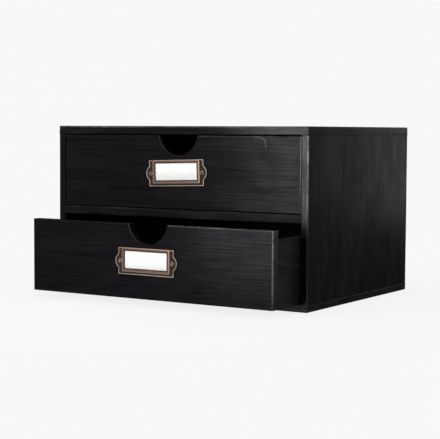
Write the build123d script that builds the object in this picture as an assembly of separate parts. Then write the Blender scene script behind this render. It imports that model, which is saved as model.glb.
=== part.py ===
from build123d import *
import os

# A desktop organizer: a wooden case with two drawers, one above the other.
# Lengths are in millimetres. The origin is the centre of the case's footprint,
# the front faces -Y, +X is to the right seen from the front and +Z is up.

# Case boards
case_width = 328.0
case_depth = 246.0
case_height = 193.0
top_thickness = 9.0
bottom_thickness = 7.5
shelf_thickness = 9.5
side_thickness = 8.0
shelf_raise = 1.0        # shelf, above the middle of the case
back_thickness = 3.0
outer_arris = 0.9        # chamfer of the outer corners and edges
inner_arris = 0.4        # chamfer of the edges next to another board

# Case joinery
rebate_width = 4.0       # step round the rear opening that the back panel sits in
housing_depth = 3.0      # groove in each side that carries the shelf
housing_stop = 10.0      # the groove ends this far behind the front edge
housing_end_gap = 0.3    # room between the shelf's tongue and the groove's floor
case_dowels_per_joint = 3
case_dowel_margin = 30.0  # first and last dowel, from the front and rear edges
case_dowel_in_panel = 5.0
case_dowel_in_side = 14.0

# Drawer fit in its opening
drawer_side_gap = 0.6    # each side of the drawer front
drawer_under_gap = 0.4
drawer_top_gap = 1.3     # over the front of the drawer, in the lower of the two openings
drawer_rear_gap = 0.5    # behind the drawer when it is shut
front_recess = 0.5       # shut drawer front, behind the case's front edges
lower_drawer_open = 57.0  # the lower drawer stands this far out at rest

# Drawer boards
front_thickness = 10.0
drawer_wall = 8.0        # sides and back
side_inset = 0.6         # drawer side, inside the end of the drawer front
side_drop = 9.5          # top of the drawer side, below the top of the front
back_drop = 3.0          # top of the drawer back, below the top of its sides
back_from_rear = 8.0     # drawer back, from the rear end of the sides
back_housing = 3.0       # groove in each drawer side that holds the back
tray_thickness = 3.0     # drawer bottom
tray_height = 5.0        # underside of the drawer bottom, above the side's lower edge
tray_groove = 3.5        # depth of the groove that holds it
tray_end_gap = 0.3       # room left at the floor of that groove
drawer_dowel_margin = 17.0  # upper and lower dowel, from the edges of the side
drawer_dowel_in_front = 6.0
drawer_dowel_in_side = 14.0
brads_per_drawer = 3
brad_margin = 40.0       # first and last brad, from the ends of the drawer back

# Finger cut in the top edge of each drawer front
finger_cut_width = 49.6
finger_cut_depth = 21.5
finger_cut_lip = 1.2     # rounding where the cut meets the top edge
finger_cut_shift = 2.0   # middle of the cut, right of the middle of the front

# Fluted dowels, across the corners of their flutes
dowel_diameter = 5.0
dowel_flutes = 8
dowel_chamfer = 0.6
dowel_end_gap = 0.5      # glue room at each end
dowel_glue_gap = 0.1     # on the diameter

# Label holder, a stamped plate nailed to the drawer front
plate_sheet = 0.7
plate_margin = 5.0       # plate beside the window frame, each side
plate_foot = 3.0         # plate below the window frame
plate_corner = 0.8
ear_reach = 4.0          # beyond the side of the plate
ear_radius = 9.0
ear_scallop = 1.2        # hollow where the ear meets the side of the plate
rim_width = 1.2          # raised bead along the plate's edge
rim_rise = 0.4
window_frame_width = 62.0
window_frame_height = 26.1
window_frame_rise = 1.8
window_frame_arris = 0.5
window_strip = 3.75      # width of the frame round the window
window_step_width = 1.0  # lowered lip next to the window
window_step_depth = 0.3
collar_diameter = 4.2    # raised ring round the nail head
collar_rise = 0.45
collar_sides = 20
nail_from_frame = 2.5    # middle of the nail, beside the window frame
upper_label_drop = 0.7   # middle of the upper holder, below the middle of its drawer front
upper_label_tilt = 1.9   # the upper holder is nailed on askew, its right end up, in degrees
lower_label_drop = 0.0
lower_label_tilt = 0.0

# Label card
card_thickness = 0.4
card_play = 0.3          # at its sides, top and foot, and behind it

# Nails and brads
nail_fit = 0.1           # on the diameter, of holes and head pockets
label_nail_head = 2.6
label_nail_dome = 0.6
label_nail_crown = 45.0  # slope of the head's side, in degrees
label_nail_shank = 1.2
label_nail_length = 8.0
brad_head = 3.0
brad_head_height = 0.6
brad_shank = 1.3
brad_length = 14.0
nail_point = 1.6
nail_head_sides = 12
nail_shank_sides = 6
back_nails_per_row = 3
back_nails_per_side = 2
back_nail_margin = 22.0

# Two places this close count as the same
near = 0.01

# Worked out from the sizes above
front_y = -case_depth / 2
rear_y = case_depth / 2
back_face_y = rear_y - back_thickness
inner_width = case_width - 2 * side_thickness
side_height = case_height - top_thickness - bottom_thickness
side_top_z = bottom_thickness + side_height
lower_opening = (side_height - shelf_thickness) / 2 + shelf_raise
upper_opening = side_height - shelf_thickness - lower_opening
shelf_z = bottom_thickness + lower_opening
shelf_top_z = shelf_z + shelf_thickness
drawer_front_width = inner_width - 2 * drawer_side_gap
drawer_front_height = min(lower_opening, upper_opening) - drawer_under_gap - drawer_top_gap
drawer_side_length = back_face_y - front_y - front_recess - front_thickness - drawer_rear_gap
drawer_side_height = drawer_front_height - side_drop
drawer_outer_width = drawer_front_width - 2 * side_inset
tray_width = drawer_outer_width - 2 * drawer_wall


def block(width, depth, height, x=0.0, y=0.0, z=0.0):
    """A board centred on x, whose front face is at y and whose underside is at z."""
    return Pos(x, y, z) * Box(width, depth, height, align=(Align.CENTER, Align.MIN, Align.MIN))


def spread(count, low, high):
    """Evenly spaced places from low to high, both included."""
    if count == 1:
        return [(low + high) / 2]
    return [low + (high - low) * step / (count - 1) for step in range(count)]


def edges_on(part, axis, place):
    """The straight edges of a board that lie in the plane where axis reads place."""
    return part.edges().filter_by_position(axis, place - near, place + near)


def bar(diameter, length, sides, taper=0.0):
    """A straight bar of many sides, standing on z = 0. diameter is across its corners."""
    return extrude(RegularPolygon(diameter / 2, sides), length, taper=taper)


def dowel(length):
    """A dowel standing on its end, with both rims chamfered."""
    pin = bar(dowel_diameter - dowel_glue_gap, length, dowel_flutes)
    ends = pin.faces().sort_by(Axis.Z)
    return chamfer(ends[0].edges() + ends[-1].edges(), dowel_chamfer)


def dowel_hole(length):
    """The hole that a dowel goes in, standing on z = 0."""
    return bar(dowel_diameter, length, dowel_flutes)


def nail(head, head_height, shank, length, crown):
    """A nail hanging point down from z = 0, where its head seats.

    crown is the slope of the head's side, in degrees.
    """
    straight = length - nail_point
    cap = bar(head, head_height, nail_head_sides, crown)
    stem = Pos(0, 0, -straight) * bar(shank, straight, nail_shank_sides)
    root = Pos(0, 0, -straight) * RegularPolygon(shank / 2, nail_shank_sides)
    return cap + stem + loft([root.face(), Vertex(0, 0, -length)])


def nail_hole(shank, length):
    """The hole that a nail's shank goes in, hanging down from z = 0."""
    return Pos(0, 0, -length) * bar(shank + nail_fit, length, nail_shank_sides)


def head_pocket():
    """The flush pocket for a brad's head, standing on z = 0."""
    return bar(brad_head + nail_fit, brad_head_height, nail_head_sides)


# Case dowels stand in the joints between the sides and the top and bottom panels.
# Each place is the dowel's foot.
side_middle_x = (case_width - side_thickness) / 2
case_dowel_spots = []
for dowel_x in (-side_middle_x, side_middle_x):
    for dowel_y in spread(case_dowels_per_joint, front_y + case_dowel_margin, rear_y - case_dowel_margin):
        case_dowel_spots.append((dowel_x, dowel_y, bottom_thickness - case_dowel_in_panel))
        case_dowel_spots.append((dowel_x, dowel_y, side_top_z - case_dowel_in_side))
case_dowel_length = case_dowel_in_panel + case_dowel_in_side

# Back nails stand in the middle of the step round the opening.
back_half_width = inner_width / 2 + rebate_width
back_foot = bottom_thickness - rebate_width
back_top = side_top_z + rebate_width
back_nail_spots = []
back_nail_reach = back_half_width - back_nail_margin
for nail_x in spread(back_nails_per_row, -back_nail_reach, back_nail_reach):
    for nail_z in (back_foot + rebate_width / 2, back_top - rebate_width / 2):
        back_nail_spots.append((nail_x, nail_z))
for nail_x in (rebate_width / 2 - back_half_width, back_half_width - rebate_width / 2):
    middle = (back_foot + shelf_z) / 2
    above = (back_top + shelf_top_z) / 2
    for nail_z in spread(back_nails_per_side, middle, above):
        back_nail_spots.append((nail_x, nail_z))


def at_back(piece, x, z):
    """Lays a piece that hangs down from z = 0 into the case from behind, level with its rear face."""
    return Pos(x, rear_y - brad_head_height, z) * Rot(-90, 0, 0) * piece


def drill_case(board):
    """Takes the dowel holes and the back nails' holes out of one case board."""
    tall_hole = dowel_hole(case_dowel_length + 2 * dowel_end_gap)
    holes = [Pos(x, y, z - dowel_end_gap) * tall_hole for x, y, z in case_dowel_spots]
    slim_hole = nail_hole(brad_shank, brad_length)
    holes += [at_back(slim_hole, x, z) for x, z in back_nail_spots]
    return board - holes


def back_rebate():
    """The space that the back panel fills, flush with the rear of the case."""
    return block(2 * back_half_width, back_thickness, back_top - back_foot, 0, back_face_y, back_foot)


def make_case_panel(outer_z, inner_z):
    """The top or bottom panel. It covers the ends of the sides."""
    low = min(outer_z, inner_z)
    panel = block(case_width, case_depth, abs(outer_z - inner_z), 0, front_y, low)
    eased = edges_on(panel, Axis.Z, outer_z) + panel.edges().filter_by(Axis.Z)
    panel = chamfer(eased, outer_arris)
    inner_front = edges_on(panel, Axis.Z, inner_z).filter_by(Axis.X).sort_by(Axis.Y)[0]
    panel = chamfer(inner_front, inner_arris)
    return drill_case(panel - back_rebate())


def make_case_side(hand):
    """A case side, with the stopped housing for the shelf. hand is -1 left, 1 right."""
    side = block(side_thickness, case_depth, side_height, hand * side_middle_x, front_y, bottom_thickness)
    upright = side.edges().filter_by(Axis.Z).sort_by(Axis.X)
    outer = upright[-2:] if hand > 0 else upright[:2]
    inner = upright[:2] if hand > 0 else upright[-2:]
    side = chamfer(outer, outer_arris)
    inner_x = hand * inner_width / 2
    inner_front = edges_on(side, Axis.X, inner_x).filter_by(Axis.Z).sort_by(Axis.Y)[0]
    side = chamfer(inner_front, inner_arris)
    housing_x = hand * (inner_width + housing_depth) / 2
    housing_length = case_depth - housing_stop
    side -= block(housing_depth, housing_length, shelf_thickness, housing_x, front_y + housing_stop, shelf_z)
    return drill_case(side - back_rebate())


def make_shelf():
    """The shelf between the drawers. Its ends are notched at the front, where the housings stop."""
    depth = back_face_y - front_y
    shelf = block(inner_width, depth, shelf_thickness, 0, front_y, shelf_z)
    front_edges = edges_on(shelf, Axis.Y, front_y).filter_by(Axis.X)
    shelf = chamfer(front_edges, inner_arris)
    tongue_width = inner_width + 2 * (housing_depth - housing_end_gap)
    shelf += block(tongue_width, depth - housing_stop, shelf_thickness, 0, front_y + housing_stop, shelf_z)
    return drill_case(shelf)


def make_back_panel():
    """The thin back panel, with flush pockets for the nail heads."""
    slim_hole = nail_hole(brad_shank, brad_length)
    holes = [at_back(slim_hole, x, z) for x, z in back_nail_spots]
    pockets = [at_back(head_pocket(), x, z) for x, z in back_nail_spots]
    return back_rebate() - (holes + pockets)


def make_case():
    """The fixed pieces of the case, by name."""
    dowels = [Pos(x, y, z) * dowel(case_dowel_length) for x, y, z in case_dowel_spots]
    brad = nail(brad_head, brad_head_height, brad_shank, brad_length, 0.0)
    nails = [at_back(brad, x, z) for x, z in back_nail_spots]
    return {
        "case_top_panel": make_case_panel(case_height, side_top_z),
        "case_bottom_panel": make_case_panel(0, bottom_thickness),
        "case_left_side": make_case_side(-1),
        "case_right_side": make_case_side(1),
        "case_shelf": make_shelf(),
        "case_back_panel": make_back_panel(),
        "case_dowels": Compound(dowels),
        "case_back_nails": Compound(nails),
    }


# A drawer is made with its front face at y = 0 and its lower edge at z = 0,
# then moved to its opening.
drawer_rear_y = front_thickness + drawer_side_length
drawer_side_x = (drawer_outer_width - drawer_wall) / 2
drawer_back_y = drawer_rear_y - back_from_rear - drawer_wall
tray_top = tray_height + tray_thickness
plate_z = drawer_front_height / 2
nail_offset = window_frame_width / 2 + nail_from_frame
drawer_dowel_zs = (drawer_dowel_margin, drawer_side_height - drawer_dowel_margin)
drawer_dowel_spots = [(x, z) for x in (-drawer_side_x, drawer_side_x) for z in drawer_dowel_zs]
drawer_dowel_length = drawer_dowel_in_front + drawer_dowel_in_side
brad_y = drawer_back_y + drawer_wall / 2
brad_half = tray_width / 2 - brad_margin
brad_spots = spread(brads_per_drawer, -brad_half, brad_half)


def along_drawer(piece, x, z):
    """Lays a piece that stands on z = 0 along the drawer, starting inside the drawer front."""
    return Pos(x, front_thickness - drawer_dowel_in_front, z) * Rot(-90, 0, 0) * piece


def drill_drawer(board):
    """Takes the dowel holes out of the drawer front or a drawer side."""
    hole = Pos(0, 0, -dowel_end_gap) * dowel_hole(drawer_dowel_length + 2 * dowel_end_gap)
    return board - [along_drawer(hole, x, z) for x, z in drawer_dowel_spots]


def finger_cut():
    """The half-round hand hold as a flat shape, x across and y up from the front's lower edge."""
    half = finger_cut_width / 2
    floor = drawer_front_height - finger_cut_depth
    spring = drawer_front_height - max(0.0, finger_cut_depth - half)
    above = drawer_front_height + finger_cut_depth
    bowl = ThreePointArc((-half, spring), (0, floor), (half, spring))
    walls = Polyline((half, spring), (half, above), (-half, above), (-half, spring))
    return Pos(finger_cut_shift, 0) * make_face(bowl.edges() + walls.edges())


def make_drawer_front(label_place):
    """The drawer front: hand hold, groove for the bottom, dowel holes and nail holes."""
    outline = Pos(0, drawer_front_height / 2) * Rectangle(drawer_front_width, drawer_front_height)
    outline -= finger_cut()
    lip_reach = finger_cut_width / 2 + near
    lips = [v for v in outline.vertices() if abs(v.X - finger_cut_shift) < lip_reach]
    lips = [v for v in lips if v.Y > drawer_front_height - near]
    outline = fillet(lips, finger_cut_lip)
    rear_face = Plane((0, front_thickness, 0), x_dir=(1, 0, 0), z_dir=(0, -1, 0))
    board = extrude(rear_face * outline, front_thickness)
    face_edges = board.faces().sort_by(Axis.Y)[0].edges()
    board = chamfer(face_edges, outer_arris)
    hidden_edges = board.faces().sort_by(Axis.Y)[-1].edges()
    board = chamfer(hidden_edges, inner_arris)
    groove_width = tray_width + 2 * tray_groove
    board -= block(groove_width, tray_groove, tray_thickness, 0, front_thickness - tray_groove, tray_height)
    for x in (-nail_offset, nail_offset):
        board -= label_place * Pos(x, 0, 0) * nail_hole(label_nail_shank, label_nail_length)
    return drill_drawer(board)


def make_drawer_side(hand):
    """A drawer side, grooved for the bottom and housed for the back. hand is -1 left, 1 right."""
    x = hand * drawer_side_x
    side = block(drawer_wall, drawer_side_length, drawer_side_height, x, front_thickness)
    side = chamfer(edges_on(side, Axis.Z, drawer_side_height).filter_by(Axis.Y), inner_arris)
    groove_x = hand * (tray_width + tray_groove) / 2
    side -= block(tray_groove, drawer_side_length, tray_thickness, groove_x, front_thickness, tray_height)
    housing_x = hand * (tray_width + back_housing) / 2
    side -= block(back_housing, drawer_wall, drawer_side_height, housing_x, drawer_back_y)
    return drill_drawer(side)


def make_drawer_back():
    """The drawer back. Its ends sit in the sides' housings and it stands on the bottom."""
    height = drawer_side_height - back_drop - tray_top
    back = block(tray_width + 2 * back_housing, drawer_wall, height, 0, drawer_back_y, tray_top)
    back = chamfer(edges_on(back, Axis.Z, tray_top + height).filter_by(Axis.X), inner_arris)
    return back - [brad_up(nail_hole(brad_shank, brad_length), x) for x in brad_spots]


def brad_up(piece, x):
    """Turns a piece that hangs down from z = 0 to point up through the drawer bottom."""
    return Pos(x, brad_y, tray_height + brad_head_height) * Rot(180, 0, 0) * piece


def make_drawer_bottom():
    """The drawer bottom, held in the grooves and nailed up into the drawer back."""
    width = tray_width + 2 * (tray_groove - tray_end_gap)
    start = front_thickness - tray_groove + tray_end_gap
    bottom = block(width, drawer_rear_y - start, tray_thickness, 0, start, tray_height)
    holes = [brad_up(nail_hole(brad_shank, brad_length), x) for x in brad_spots]
    pockets = [brad_up(head_pocket(), x) for x in brad_spots]
    return bottom - (holes + pockets)


# The label holder is drawn flat: x across, y up from the middle of the plate,
# z outwards from the face of the drawer front.
plate_width = window_frame_width + 2 * plate_margin
plate_height = window_frame_height + plate_foot
frame_middle_y = plate_foot / 2
window_width = window_frame_width - 2 * window_strip
window_height = window_frame_height - 2 * window_strip
pocket_width = window_frame_width - 2 * plate_sheet
pocket_height = window_frame_height - plate_sheet
pocket_foot_y = plate_height / 2 - pocket_height
pocket_depth = window_frame_rise - plate_sheet
card_width = pocket_width - 2 * card_play
card_height = pocket_height - 2 * card_play


def on_drawer_front(drop, tilt):
    """The place on the face of the drawer front that the flat-drawn pieces go to.

    drop is how far below the front's middle it is, and tilt how far askew, in degrees.
    """
    return Plane((0, 0, plate_z - drop), x_dir=(1, 0, 0), z_dir=(0, -1, 0)).location * Rot(0, 0, tilt)


def plate_outline():
    """The plate's outline: a rectangle with a round ear on each side."""
    outline = Rectangle(plate_width, plate_height)
    for hand in (-1, 1):
        outline += Pos(hand * (plate_width / 2 + ear_reach - ear_radius), 0) * Circle(ear_radius)
    corners = [v for v in outline.vertices() if abs(v.Y) > plate_height / 2 - near]
    outline = fillet(corners, plate_corner)
    hollows = [v for v in outline.vertices() if abs(v.Y) < ear_radius]
    return fillet(hollows, ear_scallop)


def make_label_holder():
    """The stamped plate: rim, ears, raised window frame and the channel for the card."""
    outline = plate_outline()
    plate = extrude(outline, plate_sheet)
    rim = outline - offset(outline, -rim_width)
    plate += extrude(rim, plate_sheet + rim_rise)
    frame = Rectangle(window_frame_width, window_frame_height)
    raised = extrude(Pos(0, frame_middle_y) * frame, window_frame_rise)
    front_face_edges = raised.faces().sort_by(Axis.Z)[-1].edges()
    plate += chamfer(front_face_edges, window_frame_arris)
    for x in (-nail_offset, nail_offset):
        plate += Pos(x, 0, 0) * bar(collar_diameter, plate_sheet + collar_rise, collar_sides)
        head_room = bar(label_nail_head + nail_fit, collar_rise, nail_head_sides)
        plate -= Pos(x, 0, plate_sheet) * head_room
        plate -= Pos(x, 0, plate_sheet) * nail_hole(label_nail_shank, plate_sheet)
    step = Rectangle(window_width + 2 * window_step_width, window_height + 2 * window_step_width)
    lip_z = window_frame_rise - window_step_depth
    plate -= Pos(0, frame_middle_y, lip_z) * extrude(step, window_step_depth)
    window = Rectangle(window_width, window_height)
    plate -= extrude(Pos(0, frame_middle_y) * window, window_frame_rise)
    channel = Rectangle(pocket_width, 2 * pocket_height, align=(Align.CENTER, Align.MIN))
    return plate - extrude(Pos(0, pocket_foot_y) * channel, pocket_depth)


def make_label_card():
    """The blank card in the holder's channel, standing just above its foot."""
    card = extrude(Rectangle(card_width, card_height, align=(Align.CENTER, Align.MIN)), card_thickness)
    return Pos(0, pocket_foot_y + card_play, card_play) * card


def make_drawer(label_place):
    """The pieces of a drawer and its label, by name."""
    label_nail = Pos(0, 0, plate_sheet) * nail(
        label_nail_head, label_nail_dome, label_nail_shank, label_nail_length, label_nail_crown
    )
    label_nails = [label_place * Pos(x, 0, 0) * label_nail for x in (-nail_offset, nail_offset)]
    pins = [along_drawer(dowel(drawer_dowel_length), x, z) for x, z in drawer_dowel_spots]
    brad = nail(brad_head, brad_head_height, brad_shank, brad_length, 0.0)
    brads = [brad_up(brad, x) for x in brad_spots]
    return {
        "drawer_front": make_drawer_front(label_place),
        "drawer_left_side": make_drawer_side(-1),
        "drawer_right_side": make_drawer_side(1),
        "drawer_back": make_drawer_back(),
        "drawer_bottom": make_drawer_bottom(),
        "drawer_dowels": Compound(pins),
        "drawer_brads": Compound(brads),
        "label_holder": label_place * make_label_holder(),
        "label_card": label_place * make_label_card(),
        "label_nails": Compound(label_nails),
    }


# Each drawer stands over its own floor. The upper one is shut and the lower one
# stands open.
levels = {
    "upper": (shelf_top_z, 0.0, on_drawer_front(upper_label_drop, upper_label_tilt)),
    "lower": (bottom_thickness, lower_drawer_open, on_drawer_front(lower_label_drop, lower_label_tilt)),
}
os.makedirs("parts", exist_ok=True)
nodes = make_case()
for level, (floor_z, open_by, label_place) in levels.items():
    place = Pos(0, front_y + front_recess - open_by, floor_z + drawer_under_gap)
    for name, piece in make_drawer(label_place).items():
        nodes[f"{level}_{name}"] = place * piece
for node, shape in nodes.items():
    export_step(shape, f"parts/{node}.step")
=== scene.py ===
"""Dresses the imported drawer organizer: eased boards, stamped label holders, finishes, light and camera."""
import logging
import math
from collections.abc import Callable
from dataclasses import dataclass, field
from enum import Enum
from functools import reduce

import bmesh
import bpy
import numpy as np
from mathutils import Matrix, Vector


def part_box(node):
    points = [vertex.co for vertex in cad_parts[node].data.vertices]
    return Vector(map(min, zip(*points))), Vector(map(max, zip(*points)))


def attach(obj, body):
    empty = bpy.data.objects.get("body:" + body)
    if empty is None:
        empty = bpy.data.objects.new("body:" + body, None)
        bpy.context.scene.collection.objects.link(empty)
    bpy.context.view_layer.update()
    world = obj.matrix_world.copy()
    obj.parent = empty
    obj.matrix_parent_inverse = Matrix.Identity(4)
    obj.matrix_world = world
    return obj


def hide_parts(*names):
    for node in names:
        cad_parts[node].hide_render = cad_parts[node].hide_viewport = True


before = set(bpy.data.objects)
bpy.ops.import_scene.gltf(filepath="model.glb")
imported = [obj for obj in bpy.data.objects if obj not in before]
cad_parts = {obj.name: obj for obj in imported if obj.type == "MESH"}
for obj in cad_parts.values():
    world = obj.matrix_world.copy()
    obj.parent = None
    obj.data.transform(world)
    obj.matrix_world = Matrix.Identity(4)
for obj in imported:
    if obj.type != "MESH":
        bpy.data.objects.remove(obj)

MM = 0.001
QUARTER = math.pi / 2.0
CORNER_STEPS = 4  # segments of a rounded corner
EASE_RINGS = 5  # rings of an eased end or face
SHARP = 0.05  # millimetres of rounding on an edge that is left sharp
WELD = 2e-6  # metres between points that are one
WEAR_FROM, WEAR_SPAN = 0.45, 0.3  # millimetres of rounding where the edge colour of rubbing and painted highlight sets in, and over which it grows
WANDER = 0.2  # share of an edge's rounding that it wanders by
EDGE_PHASE, LENGTH_PHASE = 2.1, 0.043  # radians of its wave from edge to edge, and per millimetre
CUT_STEP = 1e-4  # millimetres between the two stations at a cut's end
log = logging.getLogger("organizer")

Colour = tuple[float, float, float, float]
Socket = bpy.types.NodeSocket


class Along(Enum):
    """The axis that a board's length and grain run along, then the two axes of its section."""

    X = (0, 1, 2)
    Y = (1, 0, 2)
    Z = (2, 0, 1)

    @property
    def turn(self) -> tuple[float, float, float]:
        """The rotation that brings the grain's x along the board."""
        return ((0.0, 0.0, 0.0), (0.0, 0.0, -QUARTER), (0.0, QUARTER, 0.0))[self.value[0]]


class Level(Enum):
    """The two drawers."""

    UPPER = "upper"
    LOWER = "lower"


# Flat outlines and the surfaces carried along them


def edge_wear_and_highlight(rounding: np.ndarray) -> np.ndarray:
    """How much of the edge colour of rubbing and painted highlight an edge takes: nothing up to 0.45 mm of
    rounding, fully from 0.75 mm.
    """
    return np.clip((rounding - WEAR_FROM) / WEAR_SPAN, 0.0, 1.0)


@dataclass
class Outline:
    """A closed flat outline, in millimetres.

    Each point has its outward normal. A point on a rounded corner also has the corner's radius and mitre (the
    sum of the two edges' normals), so that a deep inset shrinks the corner to a point and slides it inwards.
    """

    points: np.ndarray
    normals: np.ndarray
    radius: np.ndarray
    mitre: np.ndarray
    wear_and_painted_light: np.ndarray

    @classmethod
    def square_cornered(cls, corners: np.ndarray, radii: np.ndarray, fade: float = 1.2) -> "Outline":
        """Rounds the corners of an outline that turns by right angles.

        With unit directions a into and b out of corner P, the arc is C + r (a sin t - b cos t), where
        C = P + r (b - a) and t runs from 0 to 90 degrees. One more point stands on each edge, fade beyond it.

        Args:
            corners: the corners in order, counter-clockwise.
            radii: the rounding of each corner.
            fade: how far beyond the rounding the edge colour goes.

        Returns:
            The outline, with the same number of points at every corner.
        """
        radii = np.asarray(radii, float)[:, None, None]
        corner = np.asarray(corners, float)[:, None, :]
        before = corner - np.roll(corner, 1, axis=0)
        length = np.linalg.norm(before, axis=2, keepdims=True)
        a = before / length
        b = np.roll(a, -1, axis=0)
        turn = np.sign(a[..., 0] * b[..., 1] - a[..., 1] * b[..., 0])[..., None]
        t = np.linspace(0.0, QUARTER, CORNER_STEPS + 1)[None, :, None]
        ray = a * np.sin(t) - b * np.cos(t)
        arc = corner + radii * (b - a) + radii * ray
        reach = np.minimum(radii + fade, 0.45 * np.minimum(length, np.roll(length, -1, axis=0)))
        points = np.concatenate([corner - reach * a, arc, corner + reach * b], axis=1)
        normals = (turn * ray)[:, [0, *range(CORNER_STEPS + 1), CORNER_STEPS]]
        each = np.ones((1, CORNER_STEPS + 3, 1))
        radius = np.where(turn > 0, radii, np.inf) * each
        radius[:, [0, -1]] = np.inf
        wear_and_painted_light = np.where(turn > 0, edge_wear_and_highlight(radii), 0.0) * each
        wear_and_painted_light[:, [0, -1]] = 0.0
        return cls(points.reshape(-1, 2), normals.reshape(-1, 2), radius.reshape(-1),
                   ((a - b) * each).reshape(-1, 2), wear_and_painted_light.reshape(-1))

    @classmethod
    def arc(cls, centre: tuple[float, float], radius: float, start: float, end: float, count: int,
            outward: float = 1.0) -> "Outline":
        """A stretch of a circle: centre + radius (cos t, sin t), t from start to end.

        Args:
            centre: the circle's centre.
            radius: its radius.
            start: the first angle, in radians.
            end: the last angle.
            count: the number of points.
            outward: 1 where the board is inside the circle, -1 where it is outside.

        Returns:
            The open stretch of outline.
        """
        t = np.linspace(start, end, count)
        rays = np.stack([np.cos(t), np.sin(t)], axis=1)
        return cls(np.asarray(centre) + radius * rays, outward * rays, np.full(count, np.inf),
                   np.zeros((count, 2)), np.ones(count))

    @classmethod
    def joined(cls, *pieces: "Outline") -> "Outline":
        """Puts stretches of outline one after the other."""
        return cls(*(np.concatenate(values) for values in zip(*(vars(p).values() for p in pieces))))

    def part(self, which: np.ndarray | slice) -> "Outline":
        """The stretch, or the listed points in their order."""
        return Outline(*(values[which] for values in vars(self).values()))

    def inset(self, depth: np.ndarray) -> np.ndarray:
        """Moves the outline inwards: p - min(d, r) n - max(d - r, 0) m, with n the normal and m the mitre.

        Args:
            depth: the inset, as (rings, 1) or (rings, points).

        Returns:
            The rings, as (rings, points, 2).
        """
        depth = np.broadcast_to(np.asarray(depth, float), (len(depth), len(self.points)))
        near = np.minimum(depth, self.radius)[..., None]
        past = np.maximum(depth - self.radius, 0.0)[..., None]
        return self.points - near * self.normals - past * self.mitre


@dataclass
class Shell:
    """A closed surface: points in millimetres, faces by index, and two values at each point.

    wear_and_painted_light is the rubbing and patina, partly painted highlight and shade, 0 to 1. By its tone a
    finish tells the parts of one piece apart.
    """

    points: np.ndarray
    faces: list[list[int]]
    wear_and_painted_light: np.ndarray
    tone: np.ndarray

    @classmethod
    def of_rings(cls, rings: np.ndarray, wear_and_painted_light: np.ndarray, joined: bool = False,
                 tone: float | np.ndarray = 0.0) -> "Shell":
        """Closes a grid of rings: quads between neighbours, and a flat cap at each end or the ends joined.

        Args:
            rings: points as (rings, points, 3).
            wear_and_painted_light: the rubbing and patina, partly painted highlight and shade, spread over (rings,
                points).
            joined: whether the last ring runs on into the first.
            tone: the tone, spread in the same way.

        Returns:
            The shell.
        """
        count, around = rings.shape[:2]
        k = np.arange(count if joined else count - 1)[:, None]
        j = np.arange(around)[None, :]
        ahead, on = (k + 1) % count, (j + 1) % around
        quads = np.stack([k * around + j, k * around + on, ahead * around + on, ahead * around + j], axis=-1)
        faces = quads.reshape(-1, 4).tolist()
        if not joined:
            faces += [list(range(around))[::-1], list(range((count - 1) * around, count * around))]
        wear_and_painted_light, tone = (np.broadcast_to(values, (count, around)).reshape(-1) for values in (wear_and_painted_light, tone))
        return cls(rings.reshape(-1, 3), faces, wear_and_painted_light, tone)


def make_mesh(name: str, shells: list[Shell], smooth: float) -> bpy.types.Mesh:
    """Turns closed shells into one mesh, its faces outwards, with point attributes "wear_and_painted_light" and
    "tone".

    Args:
        name: the mesh's name.
        shells: its closed surfaces.
        smooth: faces that meet at less than this angle, in degrees, are shaded as one surface.

    Returns:
        The mesh, in metres.
    """
    start = np.cumsum([0] + [len(s.points) for s in shells])
    points = np.concatenate([s.points for s in shells]) * MM
    faces = [[i + int(first) for i in face] for s, first in zip(shells, start) for face in s.faces]
    mesh = bpy.data.meshes.new(name)
    mesh.from_pydata(points, [], faces)
    for label in ("wear_and_painted_light", "tone"):
        values = np.concatenate([getattr(s, label) for s in shells]).astype(np.float32)
        mesh.attributes.new(label, "FLOAT", "POINT").data.foreach_set("value", values)
    shape = bmesh.new()
    shape.from_mesh(mesh)
    bmesh.ops.remove_doubles(shape, verts=shape.verts, dist=WELD)
    bmesh.ops.dissolve_degenerate(shape, edges=shape.edges, dist=WELD / 2.0)
    bmesh.ops.recalc_face_normals(shape, faces=shape.faces)
    shape.to_mesh(mesh)
    shape.free()
    mesh.shade_smooth()
    mesh.set_sharp_from_angle(angle=math.radians(smooth))
    return mesh


def add_piece(name: str, shells: list[Shell], material: bpy.types.Material, body: str, node: str,
              smooth: float = 32.0) -> None:
    """Makes a piece at the origin, dresses it, hangs it on its body and lets it stand for its node.

    Args:
        name: the piece's name.
        shells: its closed surfaces.
        material: its finish.
        body: the body that it moves with.
        node: the solid that it stands for.
        smooth: the smooth shading's angle, in degrees.
    """
    piece = bpy.data.objects.new(name, make_mesh(name, shells, smooth))
    bpy.context.scene.collection.objects.link(piece)
    dress(piece, material)
    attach(piece, body)
    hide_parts(node)
    log.info("%s: %d points, %d faces, rides on %s", piece.name, len(piece.data.vertices),
             len(piece.data.polygons), body)


def dress(piece: bpy.types.Object, material: bpy.types.Material) -> None:
    """Gives a piece its one material."""
    piece.data.materials.clear()
    piece.data.materials.append(material)


def corners_of(node: str) -> tuple[np.ndarray, np.ndarray]:
    """The lowest and highest corner of a solid, in millimetres."""
    low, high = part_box(node)
    return np.array(low) / MM, np.array(high) / MM


# Node wiring and the shared effects


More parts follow.
